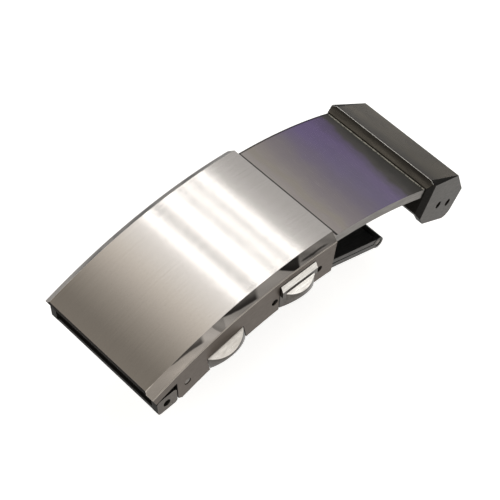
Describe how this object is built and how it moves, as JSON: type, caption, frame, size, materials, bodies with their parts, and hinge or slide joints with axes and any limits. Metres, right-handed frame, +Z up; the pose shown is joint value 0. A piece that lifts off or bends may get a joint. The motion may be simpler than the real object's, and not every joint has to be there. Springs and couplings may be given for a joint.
{
  "type": "watch bracelet folding clasp",
  "caption": "Folding steel clasp for a watch bracelet: curved cover with side push buttons, sliding extension with a spring-bar end link, and hinged blades ending in a spring-bar fork.",
  "frame": {"origin": "bottom centre of the closed clasp's box with the extension pulled out, on the surface that it lies on", "axes": "+X along the clasp from the fork end to the end link, +Y across it, +Z up through the cover"},
  "size_m": [0.0532, 0.0206, 0.0124],
  "materials": {
    "cover_steel": "stainless steel, top brushed along the clasp, bevels polished, sides satin",
    "frame_steel": "stainless steel sheet, plain satin",
    "pin_steel": "stainless steel, turned",
    "button_steel": "stainless steel, bright satin",
    "spring_steel": "spring wire",
    "plate_steel": "stainless steel, polished, fine scratches",
    "link_steel": "stainless steel, satin sides, polished top",
    "blade_steel": "stainless steel sheet, satin",
    "fork_steel": "stainless steel sheet, satin"
  },
  "bodies": {
    "cover": {"cover": "cover_steel", "inner_frame": "frame_steel", "hinge_pin": "pin_steel", "front_cross_pin": "pin_steel", "rear_cross_pin": "pin_steel", "release_spring_near": "spring_steel", "release_spring_far": "spring_steel", "extension_spring_near": "spring_steel", "extension_spring_far": "spring_steel"},
    "extension": {"extension_plate": "plate_steel", "stop_pins": "pin_steel", "end_link": "link_steel"},
    "upper_blade": {"upper_blade": "blade_steel"},
    "lower_blade": {"lower_blade": "blade_steel", "fold_hinge_pin": "pin_steel", "end_fork": "fork_steel", "fork_rivets": "pin_steel", "latch_catch": "frame_steel", "catch_rivets": "pin_steel"},
    "release_button_near": {"release_button_near": "button_steel"},
    "release_button_far": {"release_button_far": "button_steel"},
    "extension_button_near": {"extension_button_near": "button_steel"},
    "extension_button_far": {"extension_button_far": "button_steel"}
  },
  "joints": [
    {"name": "extension_slide", "type": "hinge", "parent": "cover", "child": "extension", "pos_m": [0.00221, 0, -0.04359], "axis": [0, 1, 0], "range_deg": [-17.32, 0]},
    {"name": "cover_hinge", "type": "hinge", "parent": "cover", "child": "upper_blade", "pos_m": [-0.02104, 0, 0.00304], "axis": [0, 1, 0], "range_deg": [0, 170]},
    {"name": "fold_hinge", "type": "hinge", "parent": "upper_blade", "child": "lower_blade", "pos_m": [0.01151, 0, 0.00294], "axis": [0, 1, 0], "range_deg": [-170, 0]},
    {"name": "release_button_near_push", "type": "slide", "parent": "cover", "child": "release_button_near", "axis": [0, 1, 0], "range_m": [0, 0.0006], "stiffness_N_per_m": 2600, "springref_m": -0.0004, "deforming": ["release_spring_near"]},
    {"name": "release_button_far_push", "type": "slide", "parent": "cover", "child": "release_button_far", "axis": [0, -1, 0], "range_m": [0, 0.0006], "stiffness_N_per_m": 2600, "springref_m": -0.0004, "deforming": ["release_spring_far"]},
    {"name": "extension_button_near_push", "type": "slide", "parent": "cover", "child": "extension_button_near", "axis": [0, 1, 0], "range_m": [0, 0.0006], "stiffness_N_per_m": 2600, "springref_m": -0.0004, "deforming": ["extension_spring_near"]},
    {"name": "extension_button_far_push", "type": "slide", "parent": "cover", "child": "extension_button_far", "axis": [0, -1, 0], "range_m": [0, 0.0006], "stiffness_N_per_m": 2600, "springref_m": -0.0004, "deforming": ["extension_spring_far"]}
  ],
  "couplings": [
    {"joint": "fold_hinge", "follows": "cover_hinge", "ratio": -1}
  ]
}
